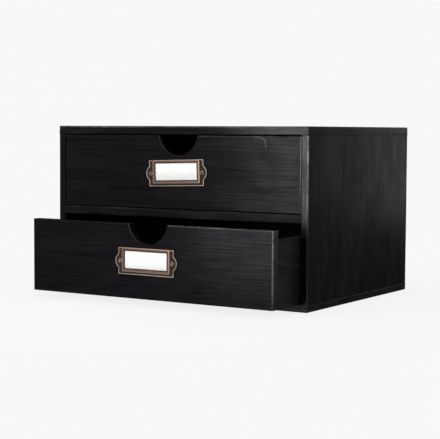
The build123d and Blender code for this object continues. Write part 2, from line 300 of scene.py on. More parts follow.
class Wiring:
    """Adds nodes to one tree and joins them."""

    def __init__(self, tree: bpy.types.NodeTree) -> None:
        """Takes the tree to work in."""
        self.tree = tree

    def node(self, kind: str, inputs: dict[str | int, object] | None = None,
             **settings: object) -> bpy.types.Node:
        """Adds a node.

        Args:
            kind: the node's type name, without its ShaderNode prefix.
            inputs: values or output sockets by input name or number.
            settings: the node's own properties.

        Returns:
            The node.
        """
        made = self.tree.nodes.new("ShaderNode" + kind)
        for key, value in settings.items():
            setattr(made, key, value)
        for key, value in (inputs or {}).items():
            self.feed(made.inputs[key], value)
        return made

    def feed(self, socket: Socket, value: object) -> None:
        """Links an output to the socket, or sets its value."""
        if isinstance(value, Socket):
            self.tree.links.new(value, socket)
        else:
            socket.default_value = value

    def math(self, operation: str, first: object, second: object = 0.0, clamp: bool = False) -> Socket:
        """One sum, and its result."""
        return self.node("Math", {0: first, 1: second}, operation=operation, use_clamp=clamp).outputs[0]

    def plus(self, first: object, second: object, clamp: bool = False) -> Socket:
        """first + second."""
        return self.math("ADD", first, second, clamp)

    def minus(self, first: object, second: object) -> Socket:
        """first - second."""
        return self.math("SUBTRACT", first, second)

    def times(self, *factors: object) -> Socket:
        """The product of all the factors."""
        return reduce(lambda first, second: self.math("MULTIPLY", first, second), factors)

    def weigh(self, *shares: tuple[Socket, float], clamp: bool = False) -> Socket:
        """The sum of values, each times its weight."""
        *most, last = [self.times(value, weight) for value, weight in shares]
        return self.plus(reduce(self.plus, most), last, clamp)

    def between(self, value: object, low: float, high: float, to_low: float = 0.0,
                to_high: float = 1.0) -> Socket:
        """Rescales a value from low..high to to_low..to_high, smoothly and clamped."""
        made = self.node("MapRange", {"Value": value, "From Min": low, "From Max": high, "To Min": to_low,
                                      "To Max": to_high}, interpolation_type="SMOOTHSTEP", clamp=True)
        return made.outputs["Result"]

    def mix(self, share: object, first: object, second: object) -> Socket:
        """Mixes two colours."""
        return self.node("Mix", {0: share, 6: first, 7: second}, data_type="RGBA").outputs[2]

    def noise(self, vector: object, scale: object, detail: float = 3.0, rough: float = 0.5,
              twist: float = 0.0) -> Socket:
        """A noise value, about 0 to 1."""
        return self.node("TexNoise", {"Vector": vector, "Scale": scale, "Detail": detail, "Roughness": rough,
                                      "Distortion": twist}).outputs[0]

    def stretch(self, vector: Socket, factors: tuple[float, float, float]) -> Socket:
        """The vector times a factor on each axis."""
        return self.node("VectorMath", {0: vector, 1: factors}, operation="MULTIPLY").outputs[0]

    def attribute(self, label: str) -> Socket:
        """A value that the mesh carries at each point."""
        return self.node("Attribute", attribute_name=label).outputs["Fac"]


Sockets = bpy.types.NodeOutputs


def make_group(name: str, values: dict[str, float],
               rule: Callable[[Wiring, Sockets], dict[str, Socket]]) -> bpy.types.NodeTree:
    """Builds a shared effect, with a Vector and its values in and the rule's values out.

    Args:
        name: the group's name.
        values: default by input name.
        rule: wires the effect from the group's inputs and gives its outputs by name.

    Returns:
        The group.
    """
    tree = bpy.data.node_groups.new(name, "ShaderNodeTree")
    tree.interface.new_socket("Vector", in_out="INPUT", socket_type="NodeSocketVector")
    for label, value in values.items():
        tree.interface.new_socket(label, in_out="INPUT", socket_type="NodeSocketFloat").default_value = value
    enter, leave = tree.nodes.new("NodeGroupInput"), tree.nodes.new("NodeGroupOutput")
    w = Wiring(tree)
    for label, value in rule(w, enter.outputs).items():
        tree.interface.new_socket(label, in_out="OUTPUT", socket_type="NodeSocketFloat")
        w.feed(leave.inputs[label], value)
    return tree


def wood_grain(w: Wiring, given: Sockets) -> dict[str, Socket]:
    """Wood grain along x.

    Fibre is fine noise stretched along the grain. Figure is the growth rings where a flat-sawn face cuts
    them: sin(2 pi k n), with n a broad stretched noise. Height joins both, Streak is the plain fine noise, and
    Pores are its highest places.

    Args:
        w: the group's wiring.
        given: Vector, Rings and Fineness.

    Returns:
        Fibre, Streak, Figure, Pores and Height.
    """
    sized = w.node("VectorMath", {0: given["Vector"], "Scale": given["Fineness"]}, operation="SCALE").outputs[0]
    thin = w.noise(w.stretch(sized, (26.0, 950.0, 950.0)), 1.0, 2.0, 0.6)
    wide = w.noise(w.stretch(sized, (13.0, 640.0, 640.0)), 1.0, 5.0, 0.62)
    body = w.noise(w.stretch(sized, (3.2, 17.0, 17.0)), 1.0, 2.0, 0.4, 0.6)
    line = w.weigh((thin, 0.45), (wide, 0.55))
    fibre = w.between(line, 0.3, 0.7)
    wave = w.math("SINE", w.times(body, given["Rings"], 2.0 * math.pi))
    figure = w.between(wave, -0.2, 1.0)
    return {"Fibre": fibre, "Streak": line, "Figure": figure, "Pores": w.between(thin, 0.62, 0.75),
            "Height": w.weigh((fibre, 0.65), (figure, 0.35))}


def wear_and_highlight_edges(w: Wiring, given: Sockets) -> dict[str, Socket]:
    """Edge colour of rubbing and painted highlight: the piece's wear_and_painted_light value, broken up by noise so
    that the rubbing and the highlight come and go.

    Args:
        w: the group's wiring.
        given: Vector, Patches and Amount.

    Returns:
        Mask.
    """
    patches = w.between(w.noise(given["Vector"], given["Patches"], 4.0, 0.65), 0.32, 0.68, 0.25, 1.0)
    return {"Mask": w.math("MULTIPLY", w.times(w.attribute("wear_and_painted_light"), patches), given["Amount"], clamp=True)}


def marks_of_use(w: Wiring, given: Sockets) -> dict[str, Socket]:
    """Marks of use: broad soft smudges, fine dust specks and a few faint scuffs.

    Args:
        w: the group's wiring.
        given: Vector.

    Returns:
        Smudge, Dust and Scuff.
    """
    place = given["Vector"]
    slant = w.node("Mapping", {"Vector": place, "Rotation": (0.4, 0.7, 0.5), "Scale": (30.0, 420.0, 420.0)})
    return {"Smudge": w.between(w.noise(place, 22.0, 3.0, 0.55, 0.8), 0.35, 0.7),
            "Dust": w.between(w.noise(place, 900.0, 2.0, 0.5), 0.66, 0.78),
            "Scuff": w.between(w.noise(slant.outputs[0], 1.0, 2.0, 0.5), 0.68, 0.8)}


class Effects:
    """The shared node groups, each built once."""

    def __init__(self) -> None:
        """Builds every group."""
        self.grain = make_group("wood grain", {"Rings": 9.0, "Fineness": 1.0}, wood_grain)
        self.wear_and_highlight = make_group("rubbed edges", {"Patches": 60.0, "Amount": 1.0}, wear_and_highlight_edges)
        self.handling = make_group("marks of use", {}, marks_of_use)


# Finishes


class Surface(Wiring):
    """A material under work: its wiring, its shader's inputs, its object coordinates and the effects."""

    def __init__(self, name: str, effects: Effects) -> None:
        """Starts the material."""
        self.material = bpy.data.materials.new(name)
        self.material.use_nodes = True
        super().__init__(self.material.node_tree)
        self.shader = self.tree.nodes["Principled BSDF"].inputs
        self.place = self.node("TexCoord").outputs["Object"]
        self.effects = effects

    def give(self, label: str, value: object) -> None:
        """Feeds one of the shader's inputs."""
        self.feed(self.shader[label], value)

    def effect(self, tree: bpy.types.NodeTree, **inputs: object) -> Sockets:
        """Places a shared effect with its own values, and gives its outputs."""
        return self.node("Group", inputs, node_tree=tree).outputs

    def relief(self, height: Socket, strength: float, depth: float) -> None:
        """Bumps the surface by a height, depth being its reach in metres."""
        bump = self.node("Bump", {"Strength": strength, "Distance": depth, "Height": height})
        self.give("Normal", bump.outputs[0])


class Finish:
    """What every finish can do. Each kind wires its own look."""

    def build(self, name: str, effects: Effects) -> bpy.types.Material:
        """Makes the material.

        Args:
            name: the material's name.
            effects: the shared groups.

        Returns:
            The material.
        """
        surface = Surface(name, effects)
        self.wire(surface)
        return surface.material

    def wire(self, s: Surface) -> None:
        """Wires the finish into the material s."""
        raise NotImplementedError


@dataclass(frozen=True)
class StainedPine(Finish):
    """Black stained pine under a thin satin lacquer, with its own grain direction and place in the log.

    front_gloss changes the lacquer from left to right over front_span on faces before front_y. cut_behind_front of
    the edge colour is taken off everywhere behind them. run is a lacquer run: the x and z of its corner, width and
    height.
    """

    along: Along
    log_place: tuple[float, float, float] = (0.0, 0.0, 0.0)
    stain: Colour = (0.0012, 0.0011, 0.0017, 1.0)
    pale: Colour = (0.0048, 0.0046, 0.0062, 1.0)
    # rubbed_and_highlight, the pale edge colour, is partly bare wood where rubbing has taken the stain off and
    # partly a painted highlight where the edges catch the light.
    rubbed_and_highlight: Colour = (0.20, 0.196, 0.185, 1.0)
    pore: Colour = (0.003, 0.003, 0.003, 1.0)
    dust: Colour = (0.05, 0.05, 0.05, 1.0)
    rings: float = 9.0
    gloss: float = 1.0
    satin: float = 0.24
    wear_and_highlight: float = 1.0
    streaks: float = 0.44
    front_gloss: tuple[float, float] = (1.0, 1.0)
    front_span: tuple[float, float] = (-0.02, 0.15)
    front_y: float = -0.1225
    cut_behind_front: float = 0.0
    wear_and_highlight_fade: tuple[float, float] = (0.068, 0.15)
    run: tuple[float, float, float, float] | None = None

    def wire(self, s: Surface) -> None:
        """Wires stain, the edge colour of rubbing and painted highlight, and lacquer.

        The lacquer's weight falls with the angle of view and follows the grain. Where cut_behind_front takes the
        edge colour off, the rest fades downwards over wear_and_highlight_fade, so that the painted highlight is
        brighter towards the top.

        Args:
            s: the material under work.
        """
        axes = s.node("SeparateXYZ", {"Vector": s.place}).outputs
        behind = s.between(axes["Y"], self.front_y, self.front_y + MM)
        turned = s.node("Mapping", {"Vector": s.place, "Location": self.log_place,
                                    "Rotation": self.along.turn}).outputs[0]
        grain = s.effect(s.effects.grain, Vector=turned, Rings=self.rings)
        wear_and_highlight_mask = s.effect(s.effects.wear_and_highlight, Vector=turned, Amount=self.wear_and_highlight)["Mask"]
        marks = s.effect(s.effects.handling, Vector=turned)
        tone = s.weigh((grain["Fibre"], 0.5), (grain["Figure"], 0.4), (marks["Smudge"], 0.25), clamp=True)
        wood = s.mix(tone, self.stain, self.pale)
        wood = s.mix(s.times(grain["Pores"], 0.5), wood, self.pore)
        wood = s.mix(s.times(marks["Dust"], 0.25), wood, self.dust)
        if self.cut_behind_front:
            wear_and_highlight_mask = s.times(wear_and_highlight_mask, s.minus(1.0, s.times(behind, self.cut_behind_front)),
                           s.between(axes["Z"], *self.wear_and_highlight_fade))
        # Painted highlight: the edges take the pale rubbed_and_highlight colour, partly rubbing and partly the
        # light that catches them.
        s.give("Base Color", s.mix(wear_and_highlight_mask, wood, self.rubbed_and_highlight))
        s.give("Roughness", s.between(grain["Fibre"], 0.0, 1.0, 0.55, 0.75))
        s.relief(grain["Height"], 0.35, 0.00025)
        facing = s.node("LayerWeight", {"Blend": 0.5}).outputs["Facing"]
        lacquer = s.between(facing, 0.12, 0.62, 0.15 * self.gloss, 0.038 * self.gloss)
        sunk = s.weigh((grain["Pores"], 0.3), (marks["Smudge"], 0.4))
        lacquer = s.times(lacquer, s.minus(1.2, sunk),
                          s.between(grain["Streak"], 0.3, 0.7, 1.0 - self.streaks, 1.0 + self.streaks))
        if self.front_gloss != (1.0, 1.0):
            edge = s.between(axes["X"], *self.front_span, *self.front_gloss)
            more = s.times(s.minus(edge, 1.0), s.minus(1.0, behind))
            lacquer = s.times(lacquer, s.plus(1.0, more))
        if self.run:
            lacquer = s.times(lacquer, s.plus(1.0, s.times(self.bead(s, axes), 1.6)))
        s.give("Coat Weight", s.plus(lacquer, s.times(wear_and_highlight_mask, 0.25)))
        s.give("Coat Roughness", self.satin)
        s.give("Coat IOR", 1.5)
        s.give("Specular IOR Level", 0.0)

    def bead(self, s: Surface, axes: Sockets) -> Socket:
        """The lacquer run: 1 along a quarter of a rounded square, x^4 + z^4 = 1 in units of its size.

        Args:
            s: the material under work.
            axes: the object coordinates.

        Returns:
            The run's value, 0 beside it.
        """
        x, z, width, height = self.run
        across, up = (s.math("MAXIMUM", s.math("DIVIDE", s.minus(axes[axis], start), size), 0.0)
                      for axis, start, size in (("X", x, width), ("Z", z, height)))
        reach = s.plus(s.math("POWER", across, 4.0), s.math("POWER", up, 4.0))
        off = s.math("ABSOLUTE", s.minus(s.math("POWER", reach, 0.25), 1.0))
        return s.times(s.between(off, 0.0, 0.13, 1.0, 0.0), s.between(axes["X"], x - MM, x + 3.0 * MM),
                       s.between(axes["Z"], z - MM, z + 3.0 * MM))


@dataclass(frozen=True)
class Hardboard(Finish):
    """Thin pressed board, stained black: matt, with felted fibres."""

    stain: Colour = (0.012, 0.011, 0.010, 1.0)
    pale: Colour = (0.034, 0.030, 0.026, 1.0)
    dust: Colour = (0.10, 0.09, 0.08, 1.0)

    def wire(self, s: Surface) -> None:
        """Wires felted fibres, clouds and dust."""
        felt = s.noise(s.place, 420.0, 5.0, 0.7, 0.4)
        cloud = s.noise(s.place, 26.0, 3.0, 0.5)
        marks = s.effect(s.effects.handling, Vector=s.place)
        board = s.mix(s.between(s.weigh((felt, 0.6), (cloud, 0.4)), 0.35, 0.65), self.stain, self.pale)
        s.give("Base Color", s.mix(s.times(marks["Dust"], 0.5), board, self.dust))
        s.give("Roughness", s.between(felt, 0.3, 0.7, 0.62, 0.82))
        s.give("Specular IOR Level", 0.15)
        s.relief(felt, 0.4, 0.0002)


@dataclass(frozen=True)
class BareBeech(Finish):
    """The unfinished beech of the dowels: fine short flecks."""

    along: Along
    pale: Colour = (0.55, 0.38, 0.22, 1.0)
    fleck: Colour = (0.33, 0.20, 0.10, 1.0)

    def wire(self, s: Surface) -> None:
        """Wires fine grain."""
        turned = s.node("Mapping", {"Vector": s.place, "Rotation": self.along.turn}).outputs[0]
        grain = s.effect(s.effects.grain, Vector=turned, Rings=14.0, Fineness=2.0)
        s.give("Base Color", s.mix(s.weigh((grain["Fibre"], 0.6), (grain["Pores"], 0.4)), self.pale, self.fleck))
        s.give("Roughness", s.between(grain["Fibre"], 0.0, 1.0, 0.55, 0.75))
        s.relief(grain["Height"], 0.4, 0.0001)


@dataclass(frozen=True)
class PatinatedMetal(Finish):
    """Plated sheet or nail metal: dark in the hollows, bright where rubbing has bared it, with mottled patina.

    The rubbed_and_highlight places take the rim colour on surfaces of tone 0 and the bright colour on those of tone
    1; the frame's outer arris, at tone 0.4, takes a mix of both as a painted highlight.
    """

    dark: Colour
    field_tone: Colour
    rim: Colour
    bright: Colour
    polish: float = 0.34
    speckle: float = 0.5

    def wire(self, s: Surface) -> None:
        """Wires the patina.

        The wear_and_painted_light value runs from 0 in a hollow over 0.5 on the flat to 1 on a ridge, and below 0
        at the frame's foot, where it paints shade along with the patina. Two mixes follow it, and noise shifts it
        so that the patina's limits wander.

        Args:
            s: the material under work.
        """
        rubbed_and_highlight = s.mix(s.attribute("tone"), self.rim, self.bright)
        mottle = s.noise(s.place, 700.0, 4.0, 0.65)
        cloud = s.noise(s.place, 130.0, 3.0, 0.6)
        shift = s.weigh((mottle, 0.35 * self.speckle), (cloud, 0.25 * self.speckle))
        level = s.plus(s.attribute("wear_and_painted_light"), s.minus(shift, 0.3 * self.speckle), clamp=True)
        low = s.mix(s.between(level, 0.05, 0.5), self.dark, self.field_tone)
        s.give("Base Color", s.mix(s.between(level, 0.5, 0.95), low, rubbed_and_highlight))
        s.give("Metallic", s.between(level, 0.0, 0.6, 0.45, 1.0))
        s.give("Roughness", s.plus(s.between(level, 0.0, 1.0, 0.62, self.polish), s.times(mottle, 0.1)))
        s.relief(mottle, 0.3, 0.0001)


@dataclass(frozen=True)
class DarkSteel(Finish):
    """Blackened steel wire of the brads: drawn lines and a little bloom."""

    dark: Colour = (0.05, 0.05, 0.052, 1.0)
    bare: Colour = (0.28, 0.27, 0.26, 1.0)

    def wire(self, s: Surface) -> None:
        """Wires bloom and scuffs."""
        bloom = s.noise(s.place, 520.0, 4.0, 0.6)
        scuff = s.effect(s.effects.handling, Vector=s.place)["Scuff"]
        share = s.plus(s.between(bloom, 0.45, 0.7), s.times(scuff, 0.6), clamp=True)
        s.give("Base Color", s.mix(share, self.dark, self.bare))
        s.give("Roughness", s.between(bloom, 0.3, 0.7, 0.5, 0.32))
        s.give("Metallic", 1.0)
        s.relief(bloom, 0.25, 0.00008)


@dataclass(frozen=True)
class WhiteCard(Finish):
    """Blank white card: faint fibres and a slightly toned edge."""

    white: Colour = (0.90, 0.90, 0.885, 1.0)
    shade: Colour = (0.84, 0.835, 0.81, 1.0)

    def wire(self, s: Surface) -> None:
        """Wires fibres and edge."""
        fibre = s.noise(s.place, 1500.0, 4.0, 0.6)
        cloud = s.noise(s.place, 90.0, 2.0, 0.5)
        rub = s.effect(s.effects.wear_and_highlight, Vector=s.place, Patches=200.0, Amount=0.6)
        tone = s.weigh((s.between(fibre, 0.4, 0.7), 0.15), (s.between(cloud, 0.4, 0.7), 0.1))
        s.give("Base Color", s.mix(s.plus(tone, rub["Mask"], clamp=True), self.white, self.shade))
        s.give("Roughness", s.between(fibre, 0.3, 0.7, 0.7, 0.85))
        s.relief(fibre, 0.25, 0.00005)


INSIDE_STAIN = (0.007, 0.007, 0.008, 1.0)
INSIDE_PALE = (0.020, 0.0195, 0.022, 1.0)
# COPPER's rim colour is the bared metal of the plate's rim and, mixed in on the frame's outer arris, a painted
# highlight; its dark colour is patina and, at the frame's foot, painted shade.
COPPER = PatinatedMetal((0.010, 0.003, 0.002, 1.0), (0.036, 0.024, 0.019, 1.0), (0.38, 0.325, 0.265, 1.0),
                        (0.145, 0.083, 0.063, 1.0), speckle=0.75)
NAIL_METAL = PatinatedMetal((0.012, 0.008, 0.006, 1.0), (0.05, 0.035, 0.028, 1.0), (0.10, 0.07, 0.05, 1.0),
                            (0.10, 0.07, 0.05, 1.0), 0.38)


# Boards


@dataclass
class Section:
    """A board's section: its right-angled corners and the rounding of the long edge at each.

    Where a notch opens further along the board, spare is the corner that it opens at. That corner is drawn once
    and its first and last points are repeated, so that both sections have as many points.
    """

    corners: list[tuple[float, float]]
    eased: list[float]
    spare: int | None = None

    @classmethod
    def handed(cls, hand: float, corners: list[tuple[float, float]], eased: list[float]) -> "Section":
        """The section as listed for a right-hand board, or in the order of its mirror image for a left-hand one."""
        return cls(*(v if hand > 0 else [*v[1::-1], *v[:1:-1]] for v in (corners, eased)))

    def outline(self, fade: float, drift: float) -> Outline:
        """Draws the section.

        Args:
            fade: how far beyond an edge its colour of rubbing and painted highlight goes.
            drift: a phase in radians that the rounding wanders with, by a fifth.

        Returns:
            The outline.
        """
        radii = np.array(self.eased)
        radii = radii * (1.0 + WANDER * np.sin(drift + EDGE_PHASE * np.arange(len(radii))))
        base = Outline.square_cornered(np.array(self.corners), radii, fade)
        if self.spare is None:
            return base
        each = len(base.points) // len(radii)
        first, last = self.spare * each, (self.spare + 1) * each - 1
        order = [np.arange(first), np.full(each, first), np.arange(first, last + 1), np.full(each, last),
                 np.arange(last + 1, len(base.points))]
        return base.part(np.concatenate(order))


@dataclass
class Cut:
    """A stretch of a board where its section is notched: a rebate or a housing."""

    start: float
    end: float
    section: Section


@dataclass
class Board:
    """A board with hand-eased edges: a section with rounded corners carried along its length.

    The rounding of the long edges wanders by a fifth along the board, as sandpaper leaves it.
    """

    along: Along
    start: float
    end: float
    section: Section
    end_eased: list[float]
    cuts: list[Cut] = field(default_factory=list)
    fade: float = 1.2
    every: float = 14.0
    seed: float = 0.0

    def stations(self) -> tuple[np.ndarray, list[Section]]:
        """The places along the board, with the section at each. A cut's ends have two stations each."""
        reach = max(self.end_eased) + self.fade
        count = max(2, int((self.end - self.start) / self.every))
        marks = [(x, self.section) for x in np.linspace(self.start + reach, self.end - reach, count)
                 if not any(c.start - 0.5 < x < c.end + 0.5 for c in self.cuts)]
        for cut in self.cuts:
            count = max(2, int((cut.end - cut.start) / self.every))
            marks += [(cut.start - CUT_STEP, self.section), (cut.end + CUT_STEP, self.section)]
            marks += [(x, cut.section) for x in np.linspace(cut.start, cut.end, count)]
        marks.sort(key=lambda mark: mark[0])
        return np.array([x for x, _ in marks]), [s for _, s in marks]

    def shell(self) -> Shell:
        """Builds the surface.

        At an end with rounding e, ring phi from 0 to 90 degrees is inset by e (1 - sin phi) and stands
        e (1 - cos phi) before the end. Between the ends the section is carried from station to station.

        Returns:
            The closed shell.
        """
        places, sections = self.stations()
        outlines = [s.outline(self.fade, x * LENGTH_PHASE + self.seed) for x, s in zip(places, sections)]
        ease = np.repeat(np.array(self.end_eased), len(outlines[0].points) // len(self.end_eased))[None, :]
        phi = np.linspace(0.0, QUARTER, EASE_RINGS)[:, None]
        inset = np.concatenate([ease + self.fade, ease * (1.0 - np.sin(phi))])
        back = np.concatenate([0.0 * ease, ease * (1.0 - np.cos(phi))])
        # The ends' rounding gives them the edge colour of rubbing and painted highlight.
        end_wear_and_highlight = np.concatenate([0.0 * ease, edge_wear_and_highlight(ease) * np.ones_like(phi)])
        rings = [self.stand(outlines[0].inset(inset), self.start + back)]
        rings += [self.stand(outline.inset(np.zeros((1, 1))), np.full((1, ease.shape[1]), x))
                  for outline, x in zip(outlines, places)]
        rings += [self.stand(outlines[-1].inset(inset[::-1]), self.end - back[::-1])]
        wear_and_painted_light = [end_wear_and_highlight, *(outline.wear_and_painted_light[None, :] for outline in outlines), end_wear_and_highlight[::-1]]
        return Shell.of_rings(np.concatenate(rings), np.concatenate(wear_and_painted_light))

    def stand(self, flat: np.ndarray, length: np.ndarray) -> np.ndarray:
        """Puts flat rings at their places along the board."""
        points = np.zeros(flat.shape[:2] + (3,))
        axis, first, second = self.along.value
        points[..., axis] = length
        points[..., first] = flat[..., 0]
        points[..., second] = flat[..., 1]
        return points


def add_board(node: str, shell: Shell, wood: StainedPine, effects: Effects, body: str = "case") -> None:
    """Adds the wooden piece that stands for a node.

    Args:
        node: the node.
        shell: its surface.
        wood: its finish.
        effects: the shared groups.
        body: the body that it moves with.
    """
    add_piece(node + "_board", [shell], wood.build(node + " pine", effects), body, node)


@dataclass
class Case:
    """The fixed case: top and bottom panels, two sides, the shelf, the back panel and their fasteners."""

    effects: Effects
    outer: float = 0.9  # rounding of the outer edges
    inner: float = 0.4  # rounding of the edges round the openings
    rebate: float = 4.0
    side_end: float = 0.15  # rounding of a side's ends

    def build(self) -> None:
        """Builds and dresses every piece of the case."""
        for name, up in (("case_top_panel", 1), ("case_bottom_panel", -1)):
            self.panel(name, up)
        for name, hand in (("case_left_side", -1.0), ("case_right_side", 1.0)):
            self.side(name, hand)
        self.shelf()
        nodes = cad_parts
        dress(nodes["case_back_panel"], Hardboard().build("back panel hardboard", self.effects))
        dress(nodes["case_dowels"], BareBeech(Along.Z).build("case dowel beech", self.effects))
        dress(nodes["case_back_nails"], DarkSteel().build("back nail steel", self.effects))
        log.info("case: back panel, dowels and back nails dressed")

    def panel(self, name: str, up: int) -> None:
        """The top or bottom panel, with the stopped rebate for the back panel.

        The bottom panel's lists are the top panel's, read backwards.

        Args:
            name: the node.
            up: 1 for the top panel, -1 for the bottom one.
        """
        (x0, y0, z0), (x1, y1, z1) = corners_of(name)
        back_low, back_high = corners_of("case_back_panel")
        spare, face, step_z = (1, z0, back_high[2]) if up > 0 else (2, z1, back_low[2])
        corners = [(y0, z0), (y1, z0), (y1, z1), (y0, z1)]
        notch = [(back_low[1], face), (back_low[1], step_z), (y1, step_z)][::up]
        outer, inner = self.outer, self.inner
        plain = Section(corners, [inner, SHARP, outer, outer][::up], spare)
        cut = Section(corners[:spare] + notch + corners[spare + 1:],
                      [inner, SHARP, SHARP, SHARP, outer, outer][::up])
        board = Board(Along.X, x0, x1, plain, [inner, inner, inner, inner, outer, outer][::up],
                      [Cut(back_low[0], back_high[0], cut)], seed=up)
        # Painted highlight: the panels' front edges take the pale edge colour, fading out towards the bottom, so
        # that the bottom panel's front has none.
        wood = StainedPine(Along.X, (0.31 * up, 0.4, 0.2 * up), rings=7.0, gloss=1.0 if up > 0 else 1.5, wear_and_highlight=0.5,
                           front_gloss=(1.2, 2.1), front_span=(0.02, 0.16), cut_behind_front=0.9)
        add_board(name, board.shell(), wood, self.effects)

    def side(self, name: str, hand: float) -> None:
        """A case side, rebated for the back panel.

        Args:
            name: the node.
            hand: -1 left, 1 right.
        """
        (x0, y0, z0), (x1, y1, z1) = corners_of(name)
        step_y = corners_of("case_back_panel")[0][1]
        near, far = (x0, x1) if hand > 0 else (x1, x0)
        step_x = near + hand * self.rebate
        section = Section.handed(
            hand, [(near, y0), (far, y0), (far, y1), (step_x, y1), (step_x, step_y), (near, step_y)],
            [self.inner, self.outer, self.outer, SHARP, SHARP, SHARP])
        board = Board(Along.Z, z0, z1, section, [self.side_end] * 6, seed=2.0 + hand)
        # Painted highlight: the sides' front edges take a paler edge colour, at full strength on the right side and
        # 0.15 on the left, fading out towards the bottom; partly rubbing, partly the light that catches the right
        # front corner.
        wood = StainedPine(Along.Z, (0.5, 0.27 * hand, 0.13), rubbed_and_highlight=(0.36, 0.35, 0.33, 1.0), rings=8.0,
                           wear_and_highlight=1.0 if hand > 0 else 0.15, front_gloss=(1.1, 2.7), cut_behind_front=0.85)
        add_board(name, board.shell(), wood, self.effects)

    def shelf(self) -> None:
        """The shelf, between the inner faces of the sides."""
        (_, y0, z0), (_, y1, z1) = corners_of("case_shelf")
        left, right = corners_of("case_left_side")[1][0], corners_of("case_right_side")[0][0]
        section = Section([(y0, z0), (y1, z0), (y1, z1), (y0, z1)], [self.inner, SHARP, SHARP, self.inner])
        board = Board(Along.X, left, right, section, [SHARP] * 4, seed=5.0)
        wood = StainedPine(Along.X, (0.9, 0.1, 0.6), rings=8.0, front_gloss=(1.3, 0.72))
        add_board("case_shelf", board.shell(), wood, self.effects)


def full_turn(count: int) -> np.ndarray:
    """Angles round a circle, in radians, the last one short of the first."""
    return np.linspace(0.0, 2.0 * math.pi, count + 1)[:-1]


def turned_about(x: float, radius: np.ndarray, turn: np.ndarray) -> np.ndarray:
    """Points at these radii and angles round (x, 0)."""
    return np.stack([x + radius * np.cos(turn), radius * np.sin(turn)], axis=-1)


